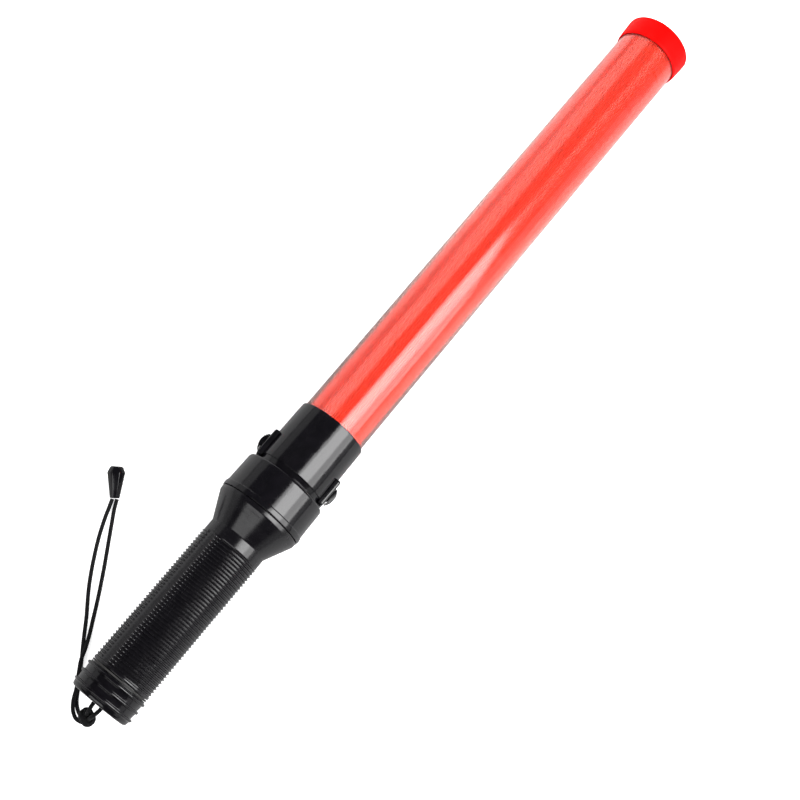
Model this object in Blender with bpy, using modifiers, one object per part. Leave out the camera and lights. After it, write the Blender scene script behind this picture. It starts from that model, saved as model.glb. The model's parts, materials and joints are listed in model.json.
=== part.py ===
"""Traffic baton light: a battery handle, a lamp head with two thumb switches, a red light tube and a
wrist strap. The baton lies at rest on the floor, on its head's widest edge and its tip cap.

Sizes are in millimetres here and become metres when a shape is made. Every turned piece is drawn along
the baton's own axis: its height runs from the tail end (0) to the tip, and its +X faces the floor."""

import math

import bmesh
import bpy
from mathutils import Euler, Matrix, Vector

MM = 0.001
GAP = 0.3  # kept between pieces that touch

# Driving dimensions, along the axis from the tail's end face
TAIL_CAP_TOP = 16.6
HANDLE_BOTTOM = 18.2
NECK_BOTTOM = 110.4
NECK_TOP = 116.6
CONE_TOP = 132.8
HANDLE_SHOULDER = 135.4
HEAD_RING_BOTTOM = 135.8
WIDEST = 137.3
HEAD_RING_TOP = 159.2
COLLAR_BOTTOM = 163.1
COLLAR_TOP = 201.4
CAP_BOTTOM = 525.1
LENGTH = 539.3

# Radii
TAIL_RADIUS = 18.7
TAIL_BEAD_RADIUS = 19.7
GRIP_RADIUS = 18.9
NECK_RADIUS = 18.6
CONE_RADIUS = 26.6
WIDEST_RADIUS = 27.4
HEAD_RADIUS = 26.7
HEAD_TOP_RADIUS = 26.35
COLLAR_RADIUS = 22.55
COLLAR_TOP_RADIUS = 22.2
TUBE_RADIUS = 20.75
TUBE_WALL = 1.1
CAP_RADIUS = 22.6
BORE = 17.4  # battery bore
SPIGOT = 24.5  # the cone's threaded end, inside the head ring

TAIL_BEADS = (14.9, 9.7, 4.4)
BEAD_FLAT = 0.5  # half the crest of a bead
BEAD_FOOT = 1.0  # half its foot

# Battery cells
CELL_RADIUS = 16.85
CELL_BODY = 59.8
CELL_LENGTH = 61.5
REAR_CELL = 25.6
FRONT_CELL = REAR_CELL + CELL_LENGTH + GAP

# Switches
SWITCH_STATION = 169.55
SWITCH_LENGTH = 18.1
SWITCH_HALF_WIDTH = 9.0
SWITCH_TOP = 24.3  # from the baton's axis
SLOT_HALF_WIDTH = 3.4
SLOT_BOTTOM = 163.9
SLOT_TOP = 177.3
THUMB_STATION = 169.1
THUMB_HALF_LENGTH = 5.3
THUMB_HALF_WIDTH = 4.8
THUMB_RIBS = 9

# Tail screw and strap
STRAP_HOLE_OFFSET = 2.6
STRAP_HOLE_RADIUS = 1.6
CORD_RADIUS = 1.15
CORD_STEP = 4.2  # between the points of a cord's tube

SIDES = 32
HALF_SIDE = math.pi / SIDES
FLAT = math.cos(HALF_SIDE)  # a flat of the turned pieces, seen from their axis

# With its cells in, the baton balances in front of its widest edge, so it rests on that edge and on the
# rim of its tip cap
TAIL_FACE_RADIUS = 17.0
TIP_FACE_RADIUS = 21.6
TIP_RIM = LENGTH - 1.0
DROP = math.atan(FLAT * (WIDEST_RADIUS - CAP_RADIUS) / (TIP_RIM - WIDEST))
TAIL_HEIGHT = WIDEST_RADIUS * FLAT * math.cos(DROP) + WIDEST * math.sin(DROP)
TAIL_X = -0.5 * (LENGTH * math.cos(DROP) + (TIP_FACE_RADIUS - TAIL_FACE_RADIUS) * FLAT * math.sin(DROP))

# Strap route: distance in front of the tail's end face (x), to the side (y) and above the floor (z)
LOWER_STRAND = [
    (1.9, 2.6, 28.9), (-1.5, 2.5, 28.9), (-4.3, 2.1, 28.0), (-6.3, 1.8, 25.4), (-7.5, 1.7, 21.8),
    (-8.4, 1.9, 18.7), (-9.2, 2.1, 15.7), (-10.2, 2.7, 12.4), (-10.9, 4.2, 8.6), (-10.3, 6.8, 4.9),
    (-8.4, 9.8, 2.3), (-5.6, 12.4, 1.3), (-2.0, 14.8, 1.2), (3.0, 18.2, 1.2), (7.4, 21.2, 1.2),
    (13.0, 25.2, 1.2), (21.6, 31.4, 1.2), (32.0, 38.6, 1.2), (42.8, 46.8, 1.2), (53.8, 54.0, 1.2),
    (68.5, 62.2, 1.2), (80.0, 67.4, 1.2), (86.4, 69.8, 1.5), (91.1, 71.5, 2.5),
]
UPPER_STRAND = [
    (1.9, -2.6, 28.9), (-1.5, -2.5, 29.0), (-4.8, -2.0, 28.6), (-7.4, -1.4, 26.0), (-8.6, -1.0, 21.9),
    (-9.4, -0.8, 18.9), (-10.3, -0.6, 15.8), (-11.9, -0.1, 12.4), (-13.5, 2.0, 9.4), (-13.7, 5.7, 7.2),
    (-11.5, 9.5, 5.8), (-8.3, 12.3, 4.8), (-5.1, 14.2, 4.2), (-2.0, 15.7, 3.9), (3.0, 18.9, 3.9),
    (7.4, 21.8, 3.95), (11.8, 24.4, 4.0), (17.8, 26.7, 3.6), (24.8, 30.1, 1.7), (32.0, 34.0, 1.2),
    (43.4, 40.2, 1.2), (58.0, 48.7, 1.2), (72.4, 57.6, 1.2), (81.3, 63.1, 1.2), (87.4, 66.8, 1.5),
    (92.7, 69.4, 2.5),
]
TOGGLE_FOOT = (92.3, 70.8, 2.75)
TOGGLE_HEADING = math.radians(37.0)
TOGGLE_PITCH = math.radians(9.0)
TOGGLE_SIDES = 8
KNOT_CENTRE = (-8.9, 0.55, 18.8)
KNOT_HEADING = (-0.27, 0.05, -0.96)  # along both strands
KNOT_ACROSS = (0.36, 0.93, -0.05)  # from the upper strand to the lower one
KNOT_HALF_GAP = 1.45  # half the way between the strands


def clear_scene():
    for item in list(bpy.data.objects):
        bpy.data.objects.remove(item)


def material(name, colour, roughness, metallic=0.0, alpha=1.0):
    made = bpy.data.materials.new(name)
    made.use_nodes = True
    shader = made.node_tree.nodes["Principled BSDF"]
    shader.inputs["Base Color"].default_value = (*colour, 1.0)
    shader.inputs["Roughness"].default_value = roughness
    shader.inputs["Metallic"].default_value = metallic
    shader.inputs["Alpha"].default_value = alpha
    return made


def collection(name):
    made = bpy.data.collections.new(name)
    bpy.context.scene.collection.children.link(made)
    return made


clear_scene()
BATON = collection("traffic_baton_light")
CUTTERS = collection("cutters")

BLACK_GLOSS = material("black_gloss_plastic", (0.012, 0.012, 0.014), 0.22)
BLACK_SATIN = material("black_satin_plastic", (0.02, 0.02, 0.022), 0.45)
RED_TUBE = material("red_tube_plastic", (0.86, 0.07, 0.03), 0.2, alpha=0.6)
RED_CAP = material("red_cap_plastic", (0.8, 0.01, 0.008), 0.3)
RED_FILM = material("red_film", (0.9, 0.16, 0.08), 0.5)
RUBBER = material("black_rubber", (0.015, 0.015, 0.015), 0.8)
CORD = material("black_cord", (0.01, 0.01, 0.01), 0.7)
STEEL = material("bright_steel", (0.6, 0.6, 0.6), 0.25, metallic=1.0)
BRASS = material("brass", (0.75, 0.55, 0.25), 0.3, metallic=1.0)
MIRROR = material("mirror_coat", (0.9, 0.9, 0.9), 0.05, metallic=1.0)
CELL = material("cell_jacket", (0.25, 0.27, 0.3), 0.35, metallic=0.8)
BOARD = material("circuit_board", (0.02, 0.16, 0.06), 0.4)
RED_LED = material("red_led", (0.9, 0.05, 0.03), 0.1)
RED_WIRE = material("red_wire", (0.6, 0.02, 0.02), 0.5)
BLACK_WIRE = material("black_wire", (0.02, 0.02, 0.02), 0.5)


def baton_frame():
    """An empty on the tail's end face. Its +Z is the baton's axis and its +X faces the floor."""
    empty = bpy.data.objects.new("baton_axis", None)
    empty.location = Vector((TAIL_X, 0.0, TAIL_HEIGHT)) * MM
    empty.rotation_euler = Euler((0.0, math.pi / 2 + DROP, 0.0))
    BATON.objects.link(empty)
    return empty


AXIS = baton_frame()


def add(item, finish=None, parent=AXIS, group=BATON):
    """Puts an object in the baton's collection, on its axis and in its finish."""
    for other in list(item.users_collection):
        other.objects.unlink(item)
    group.objects.link(item)
    item.parent = parent
    if finish is not None:
        item.data.materials.clear()
        item.data.materials.append(finish)
    if group is CUTTERS:
        item.hide_render = True
        item.display_type = "WIRE"
    return item


def turned(name, base, outline, finish, sides=SIDES, closed=False, group=BATON):
    """Turns (radius, height) points about the axis, with the object's origin at its base station.

    An open outline starts and ends on the axis, and a closed one is the section of a ring."""
    mesh = bmesh.new()
    points = [mesh.verts.new((radius * MM, 0.0, (height - base) * MM)) for radius, height in outline]
    ends = points[1:] + points[:1] if closed else points[1:]
    for first, second in zip(points, ends):
        mesh.edges.new((first, second))
    data = bpy.data.meshes.new(name)
    mesh.to_mesh(data)
    mesh.free()
    item = bpy.data.objects.new(name, data)
    item.location.z = base * MM
    item.rotation_euler.z = math.pi / sides
    screw = item.modifiers.new("turn", "SCREW")
    screw.axis = "Z"
    screw.steps = sides
    screw.render_steps = sides
    screw.use_merge_vertices = True
    screw.merge_threshold = 0.00001
    screw.use_smooth_shade = True
    return add(item, finish, group=group)


def ring(name, bottom, top, inner, outer, finish, sides=SIDES):
    section = [(outer, top), (outer, bottom), (inner, bottom), (inner, top)]
    return turned(name, bottom, section, finish, sides, closed=True)


def disc(name, bottom, top, radius, finish, sides=SIDES, group=BATON):
    section = [(0.0, top), (radius, top), (radius, bottom), (0.0, bottom)]
    return turned(name, bottom, section, finish, sides, group=group)


def box(name, centre, size, finish=None, group=BATON):
    bpy.ops.mesh.primitive_cube_add(size=1.0)
    item = bpy.context.object
    item.name = name
    item.data.name = name
    item.data.transform(Matrix.Diagonal((*(Vector(size) * MM), 1.0)))
    item.location = Vector(centre) * MM
    return add(item, finish, group=group)


def boolean(item, tool, operation="DIFFERENCE"):
    cut = item.modifiers.new("cut" if operation == "DIFFERENCE" else "join", "BOOLEAN")
    cut.operation = operation
    cut.object = tool
    return item


def round_edges(item, width, segments=2):
    edges = item.modifiers.new("round_edges", "BEVEL")
    edges.width = width * MM
    edges.segments = segments
    edges.limit_method = "ANGLE"
    return item


def wire_object(name, points, radius, finish, parent=AXIS, closed=False):
    """A round wire or cord through points given in millimetres."""
    curve = bpy.data.curves.new(name, "CURVE")
    curve.dimensions = "3D"
    curve.bevel_depth = radius * MM
    curve.bevel_resolution = 2
    curve.use_fill_caps = True
    spline = curve.splines.new("POLY")
    spline.points.add(len(points) - 1)
    for place, point in zip(spline.points, points):
        place.co = (*(Vector(point) * MM), 1.0)
    spline.use_cyclic_u = closed
    item = bpy.data.objects.new(name, curve)
    return add(item, finish, parent=parent)


def smooth_route(points, step):
    """Points about one step apart along a smooth curve through the route's own points."""
    knots = [Vector(point) for point in points]
    padded = [2 * knots[0] - knots[1]] + knots + [2 * knots[-1] - knots[-2]]
    fine = []
    for before, start, end, after in zip(padded, padded[1:], padded[2:], padded[3:]):
        for part in range(20):
            t = part / 20
            bend = 2 * before - 5 * start + 4 * end - after
            swing = -before + 3 * start - 3 * end + after
            fine.append(start + 0.5 * (t * (end - before) + t * t * bend + t * t * t * swing))
    fine.append(knots[-1])
    spans = [(b - a).length for a, b in zip(fine, fine[1:])]
    count = round(sum(spans) / step)
    route, travelled, target = [fine[0]], 0.0, sum(spans) / count
    for point, span in zip(fine[1:-1], spans):
        travelled += span
        if travelled >= target * len(route):
            route.append(point)
    if len(route) > count:
        route.pop()
    return route + [fine[-1]]


def tail_cap():
    """A screw cap: bead rings outside, a spigot that enters the handle, two holes for the strap."""
    outline = [(0.0, 3.0), (11.5, 3.0), (11.5, 6.2), (15.6, 6.2), (15.6, 24.6), (17.1, 24.6)]
    outline += [(17.1, TAIL_CAP_TOP), (TAIL_RADIUS, TAIL_CAP_TOP)]
    for station in TAIL_BEADS:
        outline += [
            (TAIL_RADIUS, station + BEAD_FOOT),
            (TAIL_BEAD_RADIUS, station + BEAD_FLAT),
            (TAIL_BEAD_RADIUS, station - BEAD_FLAT),
            (TAIL_RADIUS, station - BEAD_FOOT),
        ]
    outline += [(TAIL_RADIUS, 1.7), (18.2, 0.5), (TAIL_FACE_RADIUS, 0.0), (0.0, 0.0)]
    cap = turned("tail_cap", 0.0, outline, BLACK_GLOSS)
    for side in (-1, 1):
        hole = disc(f"strap_hole_{side}", -3.0, 6.0, STRAP_HOLE_RADIUS, None, 16, CUTTERS)
        hole.location.y = side * STRAP_HOLE_OFFSET * MM
        boolean(cap, hole)
    ring("tail_seal", TAIL_CAP_TOP + GAP, HANDLE_BOTTOM - GAP, 17.45, TAIL_RADIUS, RUBBER)


def handle_body():
    """The handle, in one piece: grip, neck and cone, with the battery bore and a thread spigot."""
    outline = [
        (22.4, 149.8), (SPIGOT, 149.8), (SPIGOT, HANDLE_SHOULDER), (CONE_RADIUS - 0.2, HANDLE_SHOULDER),
        (CONE_RADIUS + 0.1, HANDLE_SHOULDER - 0.5), (CONE_RADIUS, CONE_TOP), (NECK_RADIUS, NECK_TOP),
        (NECK_RADIUS, NECK_BOTTOM), (GRIP_RADIUS, NECK_BOTTOM - 0.5),
        (GRIP_RADIUS, HANDLE_BOTTOM + 0.6), (GRIP_RADIUS - 0.4, HANDLE_BOTTOM),
        (BORE, HANDLE_BOTTOM), (BORE, NECK_TOP), (19.15, 120.6), (22.4, 127.6),
    ]
    handle = turned("handle_body", HANDLE_BOTTOM, outline, BLACK_SATIN, closed=True)
    groove = box("strip_groove", (0.0, 17.2, 66.0), (4.4, 1.6, 108.0), group=CUTTERS)
    boolean(handle, groove)
    guide = turned(
        "battery_guide", 121.0,
        [(BORE, 149.4), (22.0, 149.4), (22.0, 148.2), (18.7, 148.2), (18.7, 121.0), (BORE, 121.0)],
        BLACK_SATIN, closed=True,
    )
    boolean(guide, box("guide_slot", (0.0, 18.6, 134.5), (6.6, 3.4, 40.0), group=CUTTERS))


def head_ring():
    """The screwed ring that clamps the collar's flange on the handle, with the widest edge as its lip."""
    outline = [
        (21.9, HEAD_RING_TOP), (24.9, HEAD_RING_TOP), (25.9, HEAD_RING_TOP - 0.8),
        (HEAD_TOP_RADIUS, HEAD_RING_TOP - 2.0), (HEAD_RADIUS, WIDEST + 2.0), (27.25, WIDEST + 1.2),
        (WIDEST_RADIUS, WIDEST), (27.25, WIDEST - 1.0), (HEAD_RADIUS, HEAD_RING_BOTTOM),
        (24.85, HEAD_RING_BOTTOM), (24.85, 156.7), (21.9, 156.7),
    ]
    turned("head_ring", HEAD_RING_BOTTOM, outline, BLACK_GLOSS, closed=True)


def tube_collar():
    """The collar that holds the light tube, the lamp board and the two switches."""
    outline = [
        (21.05, COLLAR_TOP), (COLLAR_TOP_RADIUS, COLLAR_TOP), (COLLAR_RADIUS, 164.0),
        (COLLAR_RADIUS - 0.4, COLLAR_BOTTOM), (21.5, COLLAR_BOTTOM), (21.5, 156.4), (24.4, 156.4),
        (24.4, 150.2), (20.3, 150.2), (20.3, 181.0), (17.5, 181.0), (17.5, 182.4), (21.05, 182.4),
    ]
    collar = turned("tube_collar", 150.2, outline, BLACK_GLOSS, closed=True)
    slot_length = SLOT_TOP - SLOT_BOTTOM
    slot_centre = (SLOT_TOP + SLOT_BOTTOM) / 2
    for side in (-1, 1):
        size = (2 * SLOT_HALF_WIDTH, 8.0, slot_length)
        boolean(collar, box(f"collar_slot_{side}", (0.0, side * 21.5, slot_centre), size, group=CUTTERS))


def light_tube():
    """The red tube, the ribbed film inside it, the tip cap and the mirror under the cap."""
    ring("light_tube", 182.8, 531.5, TUBE_RADIUS - TUBE_WALL, TUBE_RADIUS, RED_TUBE)
    ring("prism_film", 197.0, 530.6, 18.75, 19.3, RED_FILM)
    outline = [
        (0.0, LENGTH), (TIP_FACE_RADIUS, LENGTH), (CAP_RADIUS, LENGTH - 1.0), (CAP_RADIUS, 525.6),
        (CAP_RADIUS - 0.3, CAP_BOTTOM), (21.1, CAP_BOTTOM), (21.1, 533.2), (18.2, 533.2),
        (18.2, 537.2), (0.0, 537.2),
    ]
    turned("tip_cap", CAP_BOTTOM, outline, RED_CAP)
    disc("tip_reflector", 531.9, 532.8, 20.7, MIRROR)


def cell(name, base):
    """A D-size cell with its contact nub."""
    nub = CELL_LENGTH - CELL_BODY
    outline = [
        (0.0, base + CELL_LENGTH), (4.4, base + CELL_LENGTH), (4.4, base + CELL_LENGTH - nub),
        (CELL_RADIUS - 1.2, base + CELL_BODY), (CELL_RADIUS, base + CELL_BODY - 1.2),
        (CELL_RADIUS, base + 1.0), (CELL_RADIUS - 1.0, base), (0.0, base),
    ]
    turned(name, base, outline, CELL, 24)


def contacts():
    """The battery contacts: tail spring on its plate, front contact and the strip along the bore."""
    disc("spring_plate", 6.5, 7.1, 14.8, STEEL, 24)
    turns, per_turn, foot, head = 5.5, 12, 7.9, 24.6
    count = round(turns * per_turn)
    coil = []
    for step in range(count + 1):
        share = step / count
        angle = math.tau * turns * share
        radius = 11.5 - 4.0 * share
        coil.append((radius * math.cos(angle), radius * math.sin(angle), foot + (head - foot) * share))
    wire_object("tail_spring", coil, 0.6, STEEL)
    disc("front_contact", 149.4, 150.6, 5.0, BRASS, 16)
    disc("contact_carrier", 150.9, 152.9, 19.9, BLACK_SATIN, 24)
    box("ground_strip", (0.0, 17.575, 84.6), (3.6, 0.25, 130.0), BRASS)


def lamp():
    """The lamp board with its ring of light-emitting diodes, and the bowl around them."""
    disc("led_board", 179.1, 180.7, 19.8, BOARD, 24)
    for index in range(6):
        angle = math.tau * index / 6
        base = 181.0
        outline = [(0.0, base + 8.6), (1.8, base + 7.9), (2.5, base + 6.1), (2.5, base + 1.0),
                   (2.9, base + 1.0), (2.9, base), (0.0, base)]
        diode = turned(f"led_{index + 1}", base, outline, RED_LED, 12)
        diode.location.x = 7.0 * MM * math.cos(angle)
        diode.location.y = 7.0 * MM * math.sin(angle)
    bowl = [
        (18.3, 196.2), (19.2, 196.2), (19.2, 195.4), (12.2, 183.6), (12.2, 182.9), (10.9, 182.9),
        (10.9, 183.8),
    ]
    turned("reflector", 182.9, bowl, MIRROR, closed=True)


def boards_and_leads():
    """The driver board between the switches, its chip, and the leads to both ends."""
    box("driver_board", (0.0, 0.0, 166.6), (29.0, 1.6, 22.0), BOARD)
    box("driver_chip", (2.0, 2.0, 167.0), (9.0, 1.6, 6.0), BLACK_SATIN)
    leads = (
        ("supply_lead", (-8.0, 2.2, 153.4), (-9.0, 6.0, 161.0), (-8.0, 2.4, 171.0), RED_WIRE),
        ("return_lead", (8.0, -2.2, 153.4), (10.0, -6.0, 160.0), (9.0, -2.4, 170.0), BLACK_WIRE),
        ("lamp_supply_lead", (-11.0, 2.2, 174.0), (-12.5, 5.0, 176.2), (-12.0, 8.0, 178.2), RED_WIRE),
        ("lamp_return_lead", (11.0, -2.2, 174.0), (12.5, -5.0, 176.2), (12.0, -8.0, 178.2), BLACK_WIRE),
    )
    for name, start, middle, end, finish in leads:
        wire_object(name, smooth_route((start, middle, end), 2.2), 0.7, finish)


def thumb_outline():
    """Side view of a thumb piece, as (height along the axis, distance out): an arch with ribs."""
    foot = SWITCH_TOP + GAP
    rise = 2.2
    arch = (THUMB_HALF_LENGTH ** 2 + rise ** 2) / (2 * rise)
    centre = foot + 0.7 + rise - arch
    spread = math.asin(THUMB_HALF_LENGTH / arch)
    pitch = 2 * spread / THUMB_RIBS
    points = [(-THUMB_HALF_LENGTH, foot)]
    for rib in range(THUMB_RIBS):
        start = -spread + rib * pitch
        for share, depth in ((0.04, 0.4), (0.24, 0.0), (0.76, 0.0), (0.96, 0.4)):
            angle = start + share * pitch
            reach = arch - depth
            points.append((reach * math.sin(angle), centre + reach * math.cos(angle)))
    points.append((THUMB_HALF_LENGTH, foot))
    return points


def solid_from_outline(name, points, half_thickness):
    """A flat outline given as (x, y), filled and extruded along z, as a mesh."""
    curve = bpy.data.curves.new(name, "CURVE")
    curve.dimensions = "2D"
    curve.fill_mode = "BOTH"
    curve.extrude = half_thickness * MM
    spline = curve.splines.new("POLY")
    spline.points.add(len(points) - 1)
    for place, (x, y) in zip(spline.points, points):
        place.co = (x * MM, y * MM, 0.0, 1.0)
    spline.use_cyclic_u = True
    flat = bpy.data.objects.new(name, curve)
    bpy.context.scene.collection.objects.link(flat)
    bpy.context.view_layer.update()
    evaluated = flat.evaluated_get(bpy.context.evaluated_depsgraph_get())
    data = bpy.data.meshes.new_from_object(evaluated)
    bpy.data.objects.remove(flat)
    weld = bmesh.new()
    weld.from_mesh(data)
    bmesh.ops.remove_doubles(weld, verts=weld.verts, dist=0.00001)
    bmesh.ops.recalc_face_normals(weld, faces=weld.faces)
    weld.to_mesh(data)
    weld.free()
    return bpy.data.objects.new(name, data)


def switch(name, side):
    """A thumb slide switch on one side of the collar: plate, screws, thumb piece and switch body."""
    centre = SWITCH_STATION
    plate = box(f"{name}_plate", (0.0, side * 21.9, centre),
                (2 * SWITCH_HALF_WIDTH, 2 * (SWITCH_TOP - 21.9), SWITCH_LENGTH), BLACK_GLOSS)
    round_edges(plate, 1.2, 2)
    seat = disc(f"{name}_seat", 150.0, 190.0, COLLAR_RADIUS + GAP, None, SIDES, CUTTERS)
    boolean(plate, seat)
    slot_centre = (SLOT_TOP + SLOT_BOTTOM) / 2
    slot_size = (2 * SLOT_HALF_WIDTH, 12.0, SLOT_TOP - SLOT_BOTTOM)
    boolean(plate, box(f"{name}_slot", (0.0, side * 23.0, slot_centre), slot_size, group=CUTTERS))
    outward = math.copysign(math.pi / 2, -side)
    for index, (across, along) in enumerate(((-7.0, -5.8), (7.0, 5.8))):
        screw = disc(f"{name}_screw_{index + 1}", 0.0, 0.7, 1.2, STEEL, 12)
        screw.rotation_euler = Euler((outward, 0.0, 0.0))
        screw.location = Vector((across, side * (SWITCH_TOP + 0.1), centre + along)) * MM
        recess = disc(f"{name}_recess_{index + 1}", -0.3, 2.0, 1.5, None, 12, CUTTERS)
        recess.rotation_euler = screw.rotation_euler
        recess.location = screw.location
        boolean(plate, recess)
    thumb = solid_from_outline(f"{name}_slider", thumb_outline(), THUMB_HALF_WIDTH)
    thumb.data.transform(Matrix(((0, 0, 1, 0), (0, side, 0, 0), (1, 0, 0, 0), (0, 0, 0, 1))))
    if side > 0:
        thumb.data.flip_normals()
    thumb.location.z = THUMB_STATION * MM
    add(thumb, BLACK_SATIN)
    stem = box(f"{name}_stem", (0.0, side * 21.9, THUMB_STATION), (6.0, 6.4, 7.6), group=CUTTERS)
    boolean(thumb, stem, "UNION")
    box(f"{name}_body", (0.0, side * 15.2, centre), (9.0, 6.0, 17.0), STEEL)


def strap():
    """The wrist strap: two strands of one cord from the tail cap to a toggle, with a knot."""
    floor = bpy.data.objects.new("strap_start", None)
    floor.location = Vector((TAIL_X, 0.0, 0.0)) * MM
    BATON.objects.link(floor)
    wire_object("strap_strand_lower", smooth_route(LOWER_STRAND, CORD_STEP), CORD_RADIUS, CORD, floor)
    wire_object("strap_strand_upper", smooth_route(UPPER_STRAND, CORD_STEP), CORD_RADIUS, CORD, floor)
    bight = []
    for step in range(9):
        angle = math.pi * step / 8
        bight.append((0.0, STRAP_HOLE_OFFSET * math.cos(angle), 2.3 + STRAP_HOLE_OFFSET * math.sin(angle)))
    wire_object("strap_bight", bight, CORD_RADIUS, CORD)
    knot(floor)
    toggle(floor)


def knot(floor):
    """Two turns of cord wound round both strands, seen along the strands as a racetrack."""
    turns, per_turn = 2.0, 16
    reach = 2 * CORD_RADIUS + GAP + 0.25
    points = []
    for step in range(round(turns * per_turn) + 1):
        angle = math.tau * step / per_turn
        shift = math.copysign(KNOT_HALF_GAP, math.cos(angle)) if abs(math.cos(angle)) > 1e-6 else 0.0
        rise = 2.6 * (step / per_turn - turns / 2)
        points.append((reach * math.cos(angle) + shift, reach * math.sin(angle), rise))
    item = wire_object("strap_knot", points, CORD_RADIUS, CORD, floor)
    along = Vector(KNOT_HEADING).normalized()
    across = Vector(KNOT_ACROSS)
    across = (across - along * across.dot(along)).normalized()
    frame = Matrix((across, along.cross(across), along)).transposed()
    item.matrix_local = Matrix.Translation(Vector(KNOT_CENTRE) * MM) @ frame.to_4x4()


def toggle(floor):
    """The bell-shaped bead at the strap's end, with eight sides, lying on one of them."""
    outline = [(0.0, 18.5), (3.3, 18.5), (4.1, 17.8), (5.5, 14.8), (5.2, 13.2), (2.95, 0.0), (0.0, 0.0)]
    item = turned("strap_toggle", 0.0, outline, BLACK_GLOSS, TOGGLE_SIDES)
    item.parent = floor
    lean = Euler((0.0, math.pi / 2 - TOGGLE_PITCH, TOGGLE_HEADING)).to_matrix()
    half_side = Matrix.Rotation(math.pi / TOGGLE_SIDES, 3, "Z")
    item.matrix_local = Matrix.Translation(Vector(TOGGLE_FOOT) * MM) @ (lean @ half_side).to_4x4()


tail_cap()
handle_body()
head_ring()
tube_collar()
light_tube()
cell("rear_battery", REAR_CELL)
cell("front_battery", FRONT_CELL)
contacts()
lamp()
boards_and_leads()
switch("power_switch", 1)
switch("mode_switch", -1)
strap()
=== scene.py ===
"""Traffic baton light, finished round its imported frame: a ribbed battery handle, a lamp head with two
thumb switches, a red light tube with a tip cap, and a wrist strap that lies beside the handle.

Sizes along and across the baton are in millimetres, drawn in the baton's own space: z runs along its axis
from the tail's end face to the tip, and x faces the floor. They become metres when a piece is made."""

import json
import math

import bmesh
import bpy
from mathutils import Matrix, Vector


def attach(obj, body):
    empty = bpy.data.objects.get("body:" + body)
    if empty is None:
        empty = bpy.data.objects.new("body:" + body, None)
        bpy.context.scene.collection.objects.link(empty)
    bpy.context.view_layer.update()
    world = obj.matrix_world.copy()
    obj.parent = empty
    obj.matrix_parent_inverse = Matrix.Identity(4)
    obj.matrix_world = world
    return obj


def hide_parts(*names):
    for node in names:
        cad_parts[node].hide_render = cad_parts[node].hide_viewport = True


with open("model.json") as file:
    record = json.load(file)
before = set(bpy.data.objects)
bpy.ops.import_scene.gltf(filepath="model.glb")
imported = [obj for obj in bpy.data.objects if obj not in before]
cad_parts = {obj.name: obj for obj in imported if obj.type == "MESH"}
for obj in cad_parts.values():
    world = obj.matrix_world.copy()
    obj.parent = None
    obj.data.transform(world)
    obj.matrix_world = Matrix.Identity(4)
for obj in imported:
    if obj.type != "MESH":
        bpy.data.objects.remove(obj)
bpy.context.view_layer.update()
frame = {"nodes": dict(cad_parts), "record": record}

MM = 0.001
ROUND = 128  # sides of a turned piece
SMALL_ROUND = 48
FILLET_STEPS = 4


def baton_space():
    """The way from the baton's own space, in millimetres, to the world."""
    mounts = {mount["name"]: mount for mount in frame["record"]["mounts"]}
    forward = Vector(mounts["tip_face"]["axis"]).normalized()
    tip = Vector(mounts["tip_face"]["pos_m"])
    length = forward.dot(tip - Vector(mounts["tail_face"]["pos_m"]))
    side = Vector((0.0, 1.0, 0.0))
    turn = Matrix((side.cross(forward), side, forward)).transposed().to_4x4()
    return Matrix.Translation(tip - forward * length) @ turn @ Matrix.Scale(MM, 4), length / MM


BATON, LENGTH = baton_space()
STRAP = Matrix.Translation((BATON.translation.x, 0.0, 0.0)) @ Matrix.Scale(MM, 4)


# ---------------------------------------------------------------- camera, light and floor

LENS = 58.5
CAMERA_PLACE = (-0.2321, -0.0198, 0.7687)
CAMERA_TILT = math.radians(15.3175)  # from straight down, towards the tip
CAMERA_TURN = math.radians(50.18)


def camera():
    data = bpy.data.cameras.new("camera")
    data.lens = LENS
    data.sensor_width = 36.0
    made = bpy.data.objects.new("camera", data)
    bpy.context.scene.collection.objects.link(made)
    tilt = Matrix.Rotation(-CAMERA_TILT, 4, "Y") @ Matrix.Rotation(-CAMERA_TURN, 4, "Z")
    made.matrix_world = Matrix.Translation(CAMERA_PLACE) @ tilt
    bpy.context.scene.camera = made


def softbox(name, place, aim, size, power, swing=0.0, mirrored=True):
    """A rectangular lamp. Its long side runs along the baton, or swings away from it to the right."""
    data = bpy.data.lights.new(name, "AREA")
    data.shape = "RECTANGLE"
    data.size, data.size_y = size
    data.energy = power
    made = bpy.data.objects.new(name, data)
    bpy.context.scene.collection.objects.link(made)
    back = (Vector(place) - Vector(aim)).normalized()
    along = Vector((math.cos(math.radians(swing)), -math.sin(math.radians(swing)), 0.0))
    along = (along - back * along.dot(back)).normalized()
    turn = Matrix((along, back.cross(along), back)).transposed().to_4x4()
    made.matrix_world = Matrix.Translation(place) @ turn
    made.visible_glossy = mirrored


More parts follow.
